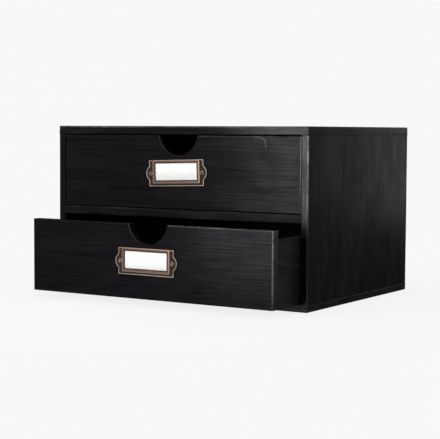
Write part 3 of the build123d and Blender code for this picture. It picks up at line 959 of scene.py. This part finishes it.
@dataclass
class LabelHolder:
    """The stamped holder of one drawer, with its two nails and its card.

    It is drawn flat, x across and y up from the middle of the plate, h outwards from the drawer front.
    """

    level: Level
    effects: Effects
    tilt: float = 0.0  # degrees, right end up
    plate: tuple[float, float] = (72.0, 29.1)  # width and height without the ears
    corner: float = 0.8
    ear_reach: float = 4.0
    ear_radius: float = 9.0
    scallop: float = 1.2  # radius of the hollows beside an ear
    sheet: float = 0.7  # thickness of the metal
    rim_width: float = 1.2
    rim_rise: float = 0.4
    rim_fade: float = 0.25  # from the rim's inner foot to a corner's end points
    rim_foot: float = 0.35  # from there to the ring inside the rim
    channel_inset: float = 0.08
    frame_size: tuple[float, float] = (62.0, 26.1)
    frame_rise: float = 1.8
    arris: float = 0.5  # radius of the frame's outer bend
    strip: float = 3.75  # width of the frame's strip
    step: tuple[float, float] = (1.0, 0.3)  # width and drop of its lowered lip
    crease: float = 1.2  # reach of the darkening round the frame: dark patina and painted shade
    nail_x: float = 33.5
    collar: tuple[float, float] = (4.2, 0.45)  # diameter and rise
    collar_sunk: float = 0.3
    nail_play: float = 0.06
    nail_head: tuple[float, float] = (2.6, 0.6)  # diameter and height
    nail_brim: tuple[float, float] = (0.12, 0.08)  # the head's undercut and its height
    nail_shank: tuple[float, float, float] = (1.2, 8.0, 1.6)  # diameter, length and point
    nail_tip: float = 0.02
    card_gap: float = 0.3
    card_sheet: float = 0.4
    card_bow: float = 0.12
    card_ease: tuple[float, float] = (0.04, 0.06)  # how far and how deep its edges are softened

    def __post_init__(self) -> None:
        """Finds the middle of the plate on the drawer front."""
        low, high = corners_of(f"{self.level.value}_label_holder")
        self.face_y = high[1]
        self.middle_z = (low[2] + high[2]) / 2.0
        self.frame_y = (self.plate[1] - self.frame_size[1]) / 2.0

    def stand(self, flat: np.ndarray, height: np.ndarray) -> np.ndarray:
        """Turns flat rings by the holder's tilt and puts them at their heights over the drawer front."""
        height = np.broadcast_to(height, flat.shape[:2])
        lean = math.radians(self.tilt)
        x = flat[..., 0] * math.cos(lean) - flat[..., 1] * math.sin(lean)
        z = flat[..., 0] * math.sin(lean) + flat[..., 1] * math.cos(lean)
        return np.stack([x, self.face_y - height, self.middle_z + z], axis=-1)

    def ear(self, hand: float) -> Outline:
        """One ear with the hollow on each side of it, going counter-clockwise.

        Args:
            hand: 1 right, -1 left.

        Returns:
            The stretch of outline between the plate's corners.
        """
        half = self.plate[0] / 2.0
        centre = half + self.ear_reach - self.ear_radius
        run = half + self.scallop - centre
        rise = math.sqrt((self.ear_radius + self.scallop) ** 2 - run ** 2)
        lean = math.atan2(rise, run)
        turn = 0.0 if hand > 0 else math.pi
        lower = ((half + self.scallop) * hand, -rise * hand)
        upper = ((half + self.scallop) * hand, rise * hand)
        return Outline.joined(
            Outline.arc(lower, self.scallop, turn + math.pi, turn + math.pi - lean, 7, -1.0),
            Outline.arc((centre * hand, 0.0), self.ear_radius, turn - lean, turn + lean, 25),
            Outline.arc(upper, self.scallop, turn + math.pi + lean, turn + math.pi, 7, -1.0))

    def plate_shell(self) -> Shell:
        """The plate: an outline with ears, open at the top where the card goes in, with a raised rim.

        Ring t from 0 to 180 degrees of the rim is inset by (1 - cos t) w / 2 and stands at sheet + rise sin t.
        Only the outer edge has the rim; the card's channel has plain walls. Inside the rim the surface runs flat to
        the nearest point of the window frame's foot, where it is darkest: patina and painted shade.

        Returns:
            The closed shell.
        """
        across, up = self.plate[0] / 2.0, self.plate[1] / 2.0
        inner = self.frame_size[0] / 2.0 - self.sheet
        foot = up - (self.frame_size[1] - self.sheet)
        corners = np.array([(across, -up), (across, up), (inner, up), (inner, foot), (-inner, foot), (-inner, up),
                            (-across, up), (-across, -up)])
        radii = np.array([self.corner, self.corner, 0.1, 0.1, 0.1, 0.1, self.corner, self.corner])
        base = Outline.square_cornered(corners, radii, self.rim_width + self.rim_fade)
        each = len(base.points) // len(corners)
        outline = Outline.joined(base.part(slice(0, each)), self.ear(1.0), base.part(slice(each, 7 * each)),
                                 self.ear(-1.0), base.part(slice(7 * each, 8 * each)))
        rim = np.ones(len(outline.points))
        ear = len(self.ear(1.0).points)
        rim[3 * each + ear - 1:5 * each + ear + 1] = 0.0
        t = np.linspace(0.0, math.pi, 9)[:, None]
        inset = np.concatenate([[[0.25], [0.0], [0.0]], (1.0 - np.cos(t)) * self.rim_width / 2.0,
                                [[self.rim_width + self.rim_foot]]])
        height = np.concatenate([[[0.0], [0.2], [0.5]], self.sheet + self.rim_rise * np.sin(t), [[self.sheet]]])
        height = np.where(height > self.sheet, self.sheet + (height - self.sheet) * rim, height)
        # Its last value, -0.3 at the frame's foot, is patina and painted shade where the frame meets the plate.
        wear_and_painted_light = np.concatenate([[[0.0], [0.1], [0.2]], 0.15 + 0.7 * np.sin(t), [[0.3], [0.15], [-0.3]]])
        wear_and_painted_light[-4] = 0.1
        flat = outline.inset(np.where(rim > 0, inset, np.minimum(inset, self.channel_inset)))
        foot_x, foot_y = (size / 2.0 + 0.02 for size in self.frame_size)
        reach = np.clip(flat[-1:], [-foot_x, self.frame_y - foot_y], [foot_x, self.frame_y + foot_y])
        span = np.linalg.norm(flat[-1:] - reach, axis=-1, keepdims=True)
        near = np.minimum(1.0, self.crease / np.maximum(span, 0.01))
        flat = np.concatenate([flat, reach + near * (flat[-1:] - reach), reach])
        height = np.concatenate([height * np.ones_like(rim), np.full((2, len(rim)), self.sheet)])
        return Shell.of_rings(self.stand(flat, height), wear_and_painted_light)

    def frame_shell(self) -> Shell:
        """The raised window frame: a folded section carried round a rectangle.

        A point at distance s inside the frame's edge is the nearest point of the rectangle shrunk by s, so the
        corners are mitred. At the top the outer wall stops above the card's slot.

        Returns:
            The closed shell.
        """
        across, up = self.frame_size[0] / 2.0, self.frame_size[1] / 2.0
        top, lip = self.frame_rise, self.frame_rise - self.step[1]
        under = self.frame_rise - self.sheet
        ridge = self.strip - self.step[0]
        bend = np.linspace(0.15, 1.0, 4) * QUARTER
        crown = np.linspace(0.0, 1.0, 7)[1:]
        bulge = np.sin(math.pi * crown)
        # The outer wall's values of -0.3 paint it near black: patina and painted shade at the frame's foot.
        section = np.concatenate([
            [(0.0, 0.02, -0.3), (0.0, 0.75, -0.3), (0.0, top - self.arris - 0.05, -0.1)],
            np.stack([self.arris * (1.0 - np.cos(bend)), top - self.arris + (self.arris - 0.07) * np.sin(bend),
                      np.full(4, 0.95)], axis=1),
            np.stack([self.arris + (ridge - self.arris - 0.15) * crown, top - 0.07 + 0.07 * bulge,
                      0.7 + 0.3 * bulge], axis=1),
            [(ridge, top - 0.16, 0.2), (ridge + 0.08, lip, 0.0), (ridge + 0.3, lip - 0.02, 0.0),
             (self.strip - 0.25, lip - 0.02, 0.4), (self.strip - 0.06, lip - 0.05, 0.7),
             (self.strip, lip - 0.15, 0.7), (self.strip, under, 0.5), (self.sheet, under, 0.0),
             (self.sheet, 0.02, 0.0)]])
        s, h, wear_and_painted_light = section.T
        slot = across - self.sheet
        long_way = np.concatenate([[-across], np.linspace(-slot, slot, 15)])
        short_way = np.linspace(-up, up, 7)[:-1]
        x = np.concatenate([long_way, np.full(6, across), -long_way, np.full(6, -across)])
        y = np.concatenate([np.full(16, -up), short_way, np.full(16, up), -short_way])
        raised = (y == up) & (np.abs(x) <= slot + 1e-6)
        ends = np.flatnonzero(raised)[[0, -1]]
        x, y = (np.insert(values, ends + [0, 1], values[ends])[:, None] for values in (x, y))
        lifted = np.insert(raised, ends + [0, 1], False)[:, None]
        flat = np.stack([np.clip(x, -(across - s), across - s),
                         np.clip(y, -(up - s), up - s) + self.frame_y], axis=-1)
        height = np.where(lifted, np.maximum(h, under), h)
        # Painted highlight: the frame's outer arris gets tone 0.4, so that its bright copper turns towards the pale
        # rim colour.
        tone = np.where((wear_and_painted_light > 0.7) & (s < self.arris + 0.01), 0.4, 1.0)
        return Shell.of_rings(self.stand(flat, height), wear_and_painted_light, True, tone)

    def collar_shell(self, x: float) -> Shell:
        """The raised ring round one nail: a bead turned about the nail's axis.

        The bead's section is (m + w cos t, h + b sin t), t from 0 to 360 degrees, with its lower half pressed
        flat into the plate.

        Args:
            x: the nail's place.

        Returns:
            The closed shell.
        """
        inner = self.nail_head[0] / 2.0 + self.nail_play
        outer = self.collar[0] / 2.0
        t = full_turn(12)
        radius = (inner + outer) / 2.0 + (outer - inner) / 2.0 * np.cos(t)
        height = self.sheet + np.where(np.sin(t) > 0, self.collar[1], self.collar_sunk) * np.sin(t)
        flat = turned_about(x, radius, full_turn(40)[:, None])
        return Shell.of_rings(self.stand(flat, height), np.clip(0.9 + 0.5 * np.sin(t), 0.0, 1.0), True)

    def nail_shell(self, x: float) -> Shell:
        """One nail turned about its axis: a domed head, a shank and a point.

        The dome's section is (R sin t, b + (H - b) cos t), t from 0 to 90 degrees, with b the height of its brim.

        Args:
            x: the nail's place.

        Returns:
            The closed shell.
        """
        head, dome = self.nail_head[0] / 2.0, self.nail_head[1]
        under, brim = self.nail_brim
        shank, length, point = self.nail_shank
        lean = np.linspace(0.02, 1.0, 9) * QUARTER
        radius = np.concatenate([head * np.sin(lean), [head - under, shank / 2.0, shank / 2.0, self.nail_tip]])
        height = self.sheet + np.concatenate([brim + (dome - brim) * np.cos(lean),
                                              [0.0, 0.0, point - length, -length]])
        wear_and_painted_light = np.concatenate([0.2 + 0.3 * np.cos(lean), [0.0, 0.0, 0.1, 0.1]])
        flat = turned_about(x, radius[:, None], full_turn(32))
        return Shell.of_rings(self.stand(flat, height[:, None]), wear_and_painted_light[:, None])

    def card_shell(self) -> Shell:
        """The card: a thin sheet that bows forwards by a hair, h = g + b cos(90 x / half) degrees."""
        width = self.frame_size[0] - 2.0 * (self.sheet + self.card_gap)
        height = self.frame_size[1] - self.sheet - 2.0 * self.card_gap
        foot = self.plate[1] / 2.0 - (self.frame_size[1] - self.sheet) + self.card_gap
        back, rim = self.card_ease
        count = 25
        x = np.linspace(-width / 2.0, width / 2.0, count)[:, None] * np.ones(8)
        low, high = np.array([back, 0.0, 0.0, back]), np.array([-back, 0.0, 0.0, -back])
        y = np.concatenate([foot + low, foot + height + high]) * np.ones((count, 1))
        rise = np.array([0.0, rim, self.card_sheet - rim, self.card_sheet])
        bow = self.card_bow * np.cos(math.pi * x / width)
        wear_and_painted_light = np.tile([0.0, 1.0, 1.0, 0.0], (count, 2))
        wear_and_painted_light[[0, -1]] = 1.0
        rings = self.stand(np.stack([x, y], axis=-1), self.card_gap + np.concatenate([rise, rise[::-1]]) + bow)
        return Shell.of_rings(rings, wear_and_painted_light)

    def build(self) -> None:
        """Builds and dresses the holder, its nails and its card."""
        name = self.level.value
        drawer = f"{name}_drawer"
        shells = [self.plate_shell(), self.frame_shell()]
        shells += [self.collar_shell(x) for x in (-self.nail_x, self.nail_x)]
        nails = [self.nail_shell(x) for x in (-self.nail_x, self.nail_x)]
        add_piece(f"{name}_stamped_holder", shells, COPPER.build(f"{name} antique copper", self.effects), drawer,
                  f"{name}_label_holder")
        add_piece(f"{name}_domed_nails", nails, NAIL_METAL.build(f"{name} nail metal", self.effects), drawer,
                  f"{name}_label_nails")
        add_piece(f"{name}_blank_card", [self.card_shell()], WhiteCard().build(f"{name} card", self.effects),
                  f"{name}_card", f"{name}_label_card", 60.0)


@dataclass
class Drawer:
    """One drawer: front with its finger cut, two sides, back, bottom, dowels, brads and label holder."""

    level: Level
    effects: Effects
    outer: float = 0.9  # rounding round the front's face
    inner: float = 0.4  # rounding behind it and on the sides
    corner: float = 0.3
    cut_width: float = 49.6
    cut_depth: float = 21.5
    cut_lip: float = 1.2  # radius of the finger cut's upper edges
    cut_shift: float = 2.0  # from the front's middle to the cut's
    groove: float = 3.5
    fade: float = 0.25  # how far beyond an edge its colour of rubbing and painted highlight goes
    askew: float = 1.9  # degrees that the upper label holder is turned by

    @property
    def body(self) -> str:
        """The body that the drawer's pieces move with. Their names begin with it too."""
        return f"{self.level.value}_drawer"

    def build(self) -> None:
        """Builds and dresses every piece of the drawer."""
        name = self.level.value
        self.front()
        for hand, side in ((-1.0, "left"), (1.0, "right")):
            self.side(hand, f"{self.body}_{side}_side")
        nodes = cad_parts
        back = StainedPine(Along.X, (0.2, 0.7, 0.4), INSIDE_STAIN, INSIDE_PALE, rings=6.0, gloss=0.6, wear_and_highlight=0.0)
        for part, finish, label in (("back", back, "drawer back pine"),
                                    ("bottom", Hardboard(), "drawer bottom hardboard"),
                                    ("dowels", BareBeech(Along.Y), "drawer dowel beech"),
                                    ("brads", DarkSteel(), "brad steel")):
            dress(nodes[f"{self.body}_{part}"], finish.build(f"{name} {label}", self.effects))
        log.info("%s drawer: back, bottom, dowels and brads dressed", name)
        LabelHolder(self.level, self.effects, self.askew if self.level is Level.UPPER else 0.0).build()

    def front_outline(self, low: np.ndarray, high: np.ndarray) -> Outline:
        """The front seen from before: a rectangle with a round hand hold in its top edge.

        The bowl is the circle through the cut's floor and both ends of its mouth, radius
        R = (w^2 / 4 + d^2) / 2 d. Each lip is a circle that touches the top edge and the bowl.

        Args:
            low: the front's lowest corner.
            high: its highest corner.

        Returns:
            The outline, x across and z up.
        """
        half, depth, lip = self.cut_width / 2.0, self.cut_depth, self.cut_lip
        bowl = (half ** 2 + depth ** 2) / (2.0 * depth)
        centre_z = high[2] - depth + bowl
        lip_z = high[2] - lip
        lip_x = math.sqrt((bowl + lip) ** 2 - (centre_z - lip_z) ** 2)
        lean = math.atan2(lip_z - centre_z, lip_x)
        corners = np.array([(low[0], low[2]), (high[0], low[2]), (high[0], high[2]), (low[0], high[2])])
        base = Outline.square_cornered(corners, np.full(4, self.corner))
        each = len(base.points) // 4
        return Outline.joined(
            base.part(slice(0, 3 * each)),
            Outline.arc((self.cut_shift + lip_x, lip_z), lip, QUARTER, math.pi + lean, 9),
            Outline.arc((self.cut_shift, centre_z), bowl, lean, -math.pi - lean, 49, -1.0),
            Outline.arc((self.cut_shift - lip_x, lip_z), lip, -lean, QUARTER, 9),
            base.part(slice(3 * each, 4 * each)))

    def front(self) -> None:
        """The drawer front: its outline carried through its thickness, with all edges eased."""
        node = f"{self.body}_front"
        low, high = corners_of(node)
        thick = high[1] - low[1]
        outline = self.front_outline(low, high)
        phi = np.linspace(0.0, QUARTER, EASE_RINGS)[:, None]
        inset = np.concatenate([[[self.outer + self.fade]], self.outer * (1.0 - np.sin(phi)), [[0.0], [0.0]],
                                self.inner * (1.0 - np.sin(phi[::-1])), [[self.inner + self.fade]]])
        depth = np.concatenate([[[0.0]], self.outer * (1.0 - np.cos(phi)), [[self.outer + self.fade]],
                                [[thick - self.inner - self.fade]],
                                thick - self.inner * (1.0 - np.cos(phi[::-1])), [[thick]]])
        wear_and_painted_light = np.concatenate([[[0.0]], np.ones_like(phi), [[0.15], [0.1]], np.full_like(phi, 0.5), [[0.0]]])
        flat = outline.inset(inset)
        rings = np.stack([flat[..., 0], low[1] + depth * np.ones((1, flat.shape[1])), flat[..., 1]], axis=-1)
        shell = Shell.of_rings(rings, wear_and_painted_light * self.rubbing_and_highlight(outline, low, high))
        upper = self.level is Level.UPPER
        seed = 0.37 if upper else 0.81
        wood = StainedPine(Along.X, (seed, 0.12, seed * 0.7), rings=6.0, front_y=1.0,
                           front_gloss=(0.9, 1.05) if upper else (0.84, 1.38),
                           run=(0.0986, 0.1691, 0.0142, 0.0123) if upper else None)
        add_board(node, shell, wood, self.effects, self.body)

    def rubbing_and_highlight(self, outline: Outline, low: np.ndarray, high: np.ndarray) -> np.ndarray:
        """How much of the edge colour each point of the front's outline takes: partly hand rubbing, partly painted
        highlight.

        The top edge has t (0.3 + 0.25 u) right of its middle, with u from 0 at the left end to 1 at the right end
        and t = 1 for the lower drawer, 0.5 for the upper one. The right end has 0.45 to 1.45, more at its top, and
        the left wall of the finger cut has 0.15. Rising to the right and upwards, these values paint the highlights
        where the light catches the right end, the right half of the top edge and the left wall of the finger cut.

        Args:
            outline: the front's outline.
            low: the front's lowest corner.
            high: its highest corner.

        Returns:
            The values, 0 and up. The material clamps them.
        """
        x, z = outline.points.T
        right, up = np.maximum(outline.normals, 0.0).T
        along = (x - low[0]) / (high[0] - low[0])
        top = (1.0 if self.level is Level.LOWER else 0.5) * np.where(along > 0.5, 0.3 + 0.25 * along, 0.04)
        end = 0.45 + (z - low[2]) / (high[2] - low[2])
        in_cut = (z > high[2] - self.cut_depth - 1.0) & (z < high[2] - 0.2) & (along > 0.2) & (along < 0.8)
        beside = np.abs(x - self.cut_shift + self.cut_width / 2.0)
        hold = np.where(in_cut, np.clip(1.2 - beside / 9.0, 0.1, 1.0), 0.0)
        rubbed_and_highlight = np.where(in_cut, 0.0, up * top + right * end)
        return np.maximum(rubbed_and_highlight, 0.15 * hold) + 0.01

    def side(self, hand: float, node: str) -> None:
        """A drawer side, grooved for the bottom and housed for the back.

        Args:
            hand: -1 left, 1 right.
            node: the solid that it stands for.
        """
        low, high = corners_of(node)
        tray_low, tray_high = corners_of(f"{self.body}_bottom")
        back_low, back_high = corners_of(f"{self.body}_back")
        inner, outer = (low[0], high[0]) if hand > 0 else (high[0], low[0])
        deep = inner + hand * self.groove
        housed = (back_high if hand > 0 else back_low)[0]
        z0, z1, g0, g1 = low[2], high[2], tray_low[2], tray_high[2]

        def section(face: float) -> Section:
            """The side's section when its inner face stands at face above the groove."""
            corners = [(inner, z0), (outer, z0), (outer, z1), (face, z1), (face, g1), (deep, g1), (deep, g0),
                       (inner, g0)]
            return Section.handed(hand, corners, [SHARP] * 2 + [self.inner] * 2 + [SHARP] * 4)

        board = Board(Along.Y, low[1], high[1], section(inner), [0.1] * 8,
                      [Cut(back_low[1], back_high[1], section(housed))], fade=0.9, seed=3.0 * hand)
        wood = StainedPine(Along.Y, (0.3, 0.22 * hand, 0.45), INSIDE_STAIN, INSIDE_PALE, rings=7.0, gloss=0.75)
        add_board(node, board.shell(), wood, self.effects, self.body)


# Studio


@dataclass
class Studio:
    """The plain pale floor, the soft lights and the camera of the photograph."""

    picture: tuple[int, int] = (440, 439)
    focal: float = 1294.87  # in pixels
    yaw: float = 32.291
    pitch: float = 3.928
    roll: float = 0.279
    eye: tuple[float, float, float] = (0.79834, -1.29617, 0.18823)
    target: tuple[float, float, float] = (0.0, 0.0, 0.09)
    floor_half: float = 20.0
    pale: float = 0.94  # level of the backdrop
    near: float = 0.985  # level of the floor's plain share by the object
    lift: float = 0.85  # that share, the rest of the floor being lit

    def build(self) -> None:
        """Sets up floor, world, lights and camera."""
        self.floor()
        self.world()
        self.soft_box("key", (-0.075, -0.60, 0.075), (0.21, 0.15), 0.5, (0.96, 0.955, 1.0))
        self.soft_box("high key", (-0.075, -0.60, 0.205), (0.21, 0.11), 0.62, (1.0, 0.99, 0.93))
        self.soft_box("rear fill", (0.37, 1.45, 0.32), (0.86, 0.64), 18.0, (1.0, 0.92, 0.86))
        self.soft_box("front top", (-0.10, -0.42, 0.45), (0.30, 0.16), 0.52)
        self.soft_box("overhead", (0.25, -0.24, 1.76), (1.6, 1.6), 4.0)
        self.camera()

    def camera(self) -> None:
        """The camera: looks along (-sin yaw cos pitch, cos yaw cos pitch, -sin pitch), rolled about that line."""
        yaw, pitch, roll = (math.radians(a) for a in (self.yaw, self.pitch, self.roll))
        ahead = Vector((-math.sin(yaw) * math.cos(pitch), math.cos(yaw) * math.cos(pitch), -math.sin(pitch)))
        right = Vector((math.cos(yaw), math.sin(yaw), 0.0))
        above = right.cross(ahead)
        across = math.cos(roll) * right + math.sin(roll) * above
        up = -math.sin(roll) * right + math.cos(roll) * above
        lens = bpy.data.cameras.new("photograph camera")
        lens.sensor_width = 36.0
        lens.sensor_fit = "HORIZONTAL"
        lens.lens = 36.0 * self.focal / self.picture[0]
        lens.clip_start, lens.clip_end = 0.01, 60.0
        holder = bpy.data.objects.new("photograph camera", lens)
        turn = Matrix((across, up, -ahead)).transposed().to_4x4()
        holder.matrix_world = Matrix.Translation(Vector(self.eye)) @ turn
        bpy.context.scene.collection.objects.link(holder)
        bpy.context.scene.camera = holder

    def floor(self) -> None:
        """A wide floor that is lit near the object, keeps its shadow, and turns to plain backdrop further out."""
        mesh = bpy.data.meshes.new("studio_floor")
        turns = ((-1, -1), (1, -1), (1, 1), (-1, 1))
        mesh.from_pydata([(self.floor_half * x, self.floor_half * y, 0.0) for x, y in turns], [], [(0, 1, 2, 3)])
        piece = bpy.data.objects.new("studio_floor", mesh)
        bpy.context.scene.collection.objects.link(piece)
        material = bpy.data.materials.new("pale floor")
        material.use_nodes = True
        material.node_tree.nodes.clear()
        w = Wiring(material.node_tree)
        place = w.node("TexCoord").outputs["Object"]
        away = w.node("VectorMath", {0: place}, operation="LENGTH").outputs["Value"]
        tint = w.mix(w.noise(place, 3.0, 2.0, 0.5), (0.80, 0.80, 0.80, 1.0), (0.82, 0.82, 0.82, 1.0))
        matt = w.node("BsdfDiffuse", {"Color": tint}).outputs[0]
        far = w.between(away, 0.22, 0.5)
        level = w.mix(far, (*[self.near] * 3, 1.0), (*[self.pale] * 3, 1.0))
        plain = w.node("Emission", {"Color": level, "Strength": 1.0}).outputs[0]
        share = w.times(self.seen(w), w.plus(self.lift, w.times(far, 1.0 - self.lift)))
        self.surface(w, "OutputMaterial", share, matt, plain)
        mesh.materials.append(material)

    @staticmethod
    def seen(w: Wiring) -> Socket:
        """1 for the rays that show the backdrop: the camera's own, and those off metal or through glass."""
        rays = w.node("LightPath").outputs
        mirrored = w.math("MAXIMUM", rays["Is Glossy Ray"], rays["Is Transmission Ray"])
        return w.math("MAXIMUM", rays["Is Camera Ray"], mirrored)

    @staticmethod
    def surface(w: Wiring, kind: str, share: Socket, first: Socket, second: Socket) -> None:
        """Mixes two shaders into an output node of this kind."""
        mixed = w.node("MixShader", {0: share, 1: first, 2: second}).outputs[0]
        w.node(kind, {"Surface": mixed})

    def world(self) -> None:
        """A soft grey room, seen as a pale backdrop by the camera."""
        world = bpy.data.worlds.new("studio")
        bpy.context.scene.world = world
        world.use_nodes = True
        world.node_tree.nodes.clear()
        w = Wiring(world.node_tree)
        room = w.node("Background", {"Color": (0.55, 0.56, 0.58, 1.0), "Strength": 0.78}).outputs[0]
        pale = w.node("Background", {"Color": (*[self.pale] * 3, 1.0), "Strength": 1.0}).outputs[0]
        self.surface(w, "OutputWorld", self.seen(w), room, pale)

    def soft_box(self, name: str, place: tuple[float, float, float], size: tuple[float, float], power: float,
                 colour: tuple[float, float, float] = (1.0, 1.0, 1.0)) -> None:
        """Hangs one area light that points at the object's middle, level unless it hangs high.

        Args:
            name: the light's name.
            place: its middle, in metres.
            size: width and height in metres.
            power: in watts.
            colour: its tint.
        """
        lamp = bpy.data.lights.new(name, "AREA")
        lamp.shape = "RECTANGLE"
        lamp.size, lamp.size_y = size
        lamp.energy = power
        lamp.color = colour
        holder = bpy.data.objects.new(name, lamp)
        holder.location = place
        towards = Vector(self.target) - Vector(place)
        if abs(towards.z) < 0.5 * towards.length:
            towards.z = 0.0
        holder.rotation_euler = towards.to_track_quat("-Z", "Y").to_euler()
        bpy.context.scene.collection.objects.link(holder)


def main() -> None:
    """Builds the case, both drawers and the studio in order."""
    logging.basicConfig(level=logging.INFO, format="%(name)s: %(message)s")
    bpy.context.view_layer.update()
    effects = Effects()
    Case(effects).build()
    for level in Level:
        Drawer(level, effects).build()
        log.info("%s drawer built", level.value)
    Studio().build()
    bpy.context.scene.view_settings.view_transform = "Standard"


if __name__ == "__main__":
    main()
